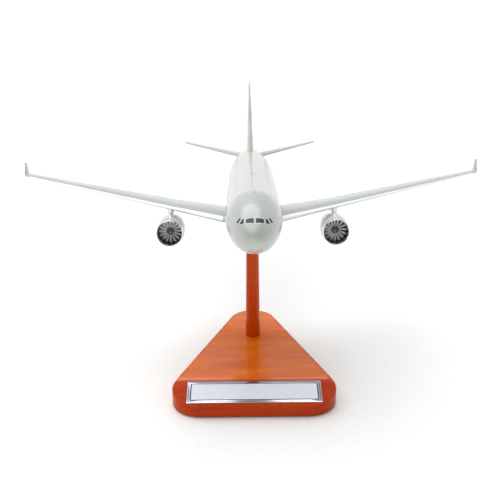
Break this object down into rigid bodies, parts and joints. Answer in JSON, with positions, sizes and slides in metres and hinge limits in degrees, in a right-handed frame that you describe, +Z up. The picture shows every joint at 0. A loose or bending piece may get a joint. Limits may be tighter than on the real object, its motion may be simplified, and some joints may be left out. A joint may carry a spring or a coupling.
{
  "type": "desktop airliner model",
  "caption": "Painted wooden twin-engine airliner with winglets and spinning fans, nose-up on a lacquered post and triangular board with a blank nameplate.",
  "frame": {"origin": "on the desk, under the felt, on the axis of the post", "axes": "+X across the span towards the airliner's own left wing; +Y from the nose towards the tail; +Z up"},
  "size_m": [0.5828, 0.5963, 0.2707],
  "materials": {
    "mahogany": "gloss lacquer",
    "green_felt": "matt",
    "plate_metal": "polished",
    "plate_enamel": "gloss",
    "steel": "satin",
    "brass": "satin",
    "pearl_paint": "gloss paint",
    "wing_paint": "gloss paint",
    "pylon_paint": "gloss paint",
    "tail_paint": "gloss paint",
    "fin_paint": "gloss paint",
    "cowl_paint": "gloss paint",
    "exhaust_paint": "satin metallic paint",
    "polished_metal": "polished",
    "fan_metal": "satin",
    "plain_wood": "bare"
  },
  "bodies": {
    "stand": {"base_board": "mahogany", "base_felt": "green_felt", "nameplate": "plate_metal", "nameplate_panel": "plate_enamel", "post": "mahogany", "post_screw": "steel", "post_bush": "brass"},
    "pin": {"support_pin": "steel"},
    "airframe": {"belly_bush": "brass", "fuselage": "pearl_paint", "belly_fairing": "pearl_paint", "wing_dowels": "plain_wood", "tail_dowels": "plain_wood", "fin": "fin_paint", "antennas": "pearl_paint", "left_wing": "wing_paint", "left_winglet": "wing_paint", "left_flap_fairings": "wing_paint", "left_pylon": "pylon_paint", "left_stabilizer": "tail_paint", "left_nacelle": "cowl_paint", "left_inlet_lip": "polished_metal", "left_fan_bush": "brass", "left_core_cowl": "exhaust_paint", "left_exhaust_plug": "exhaust_paint", "right_wing": "wing_paint", "right_winglet": "wing_paint", "right_flap_fairings": "wing_paint", "right_pylon": "pylon_paint", "right_stabilizer": "tail_paint", "right_nacelle": "cowl_paint", "right_inlet_lip": "polished_metal", "right_fan_bush": "brass", "right_core_cowl": "exhaust_paint", "right_exhaust_plug": "exhaust_paint"},
    "left_fan_rotor": {"left_fan": "fan_metal", "left_fan_axle": "steel"},
    "right_fan_rotor": {"right_fan": "fan_metal", "right_fan_axle": "steel"}
  },
  "joints": [
    {"name": "airframe_swivel", "type": "hinge", "parent": "stand", "child": "pin", "pos_m": [0, 0, 0.1816], "axis": [0, 0, 1], "continuous": true},
    {"name": "airframe_lift", "type": "slide", "parent": "pin", "child": "airframe", "axis": [0, 0, 1], "range_m": [0, 0.03]},
    {"name": "left_fan_spin", "type": "hinge", "parent": "airframe", "child": "left_fan_rotor", "pos_m": [0.0936, -0.0587, 0.17951], "axis": [0, -0.9848, 0.1736], "continuous": true},
    {"name": "right_fan_spin", "type": "hinge", "parent": "airframe", "child": "right_fan_rotor", "pos_m": [-0.0936, -0.0587, 0.17951], "axis": [0, -0.9848, 0.1736], "continuous": true}
  ]
}
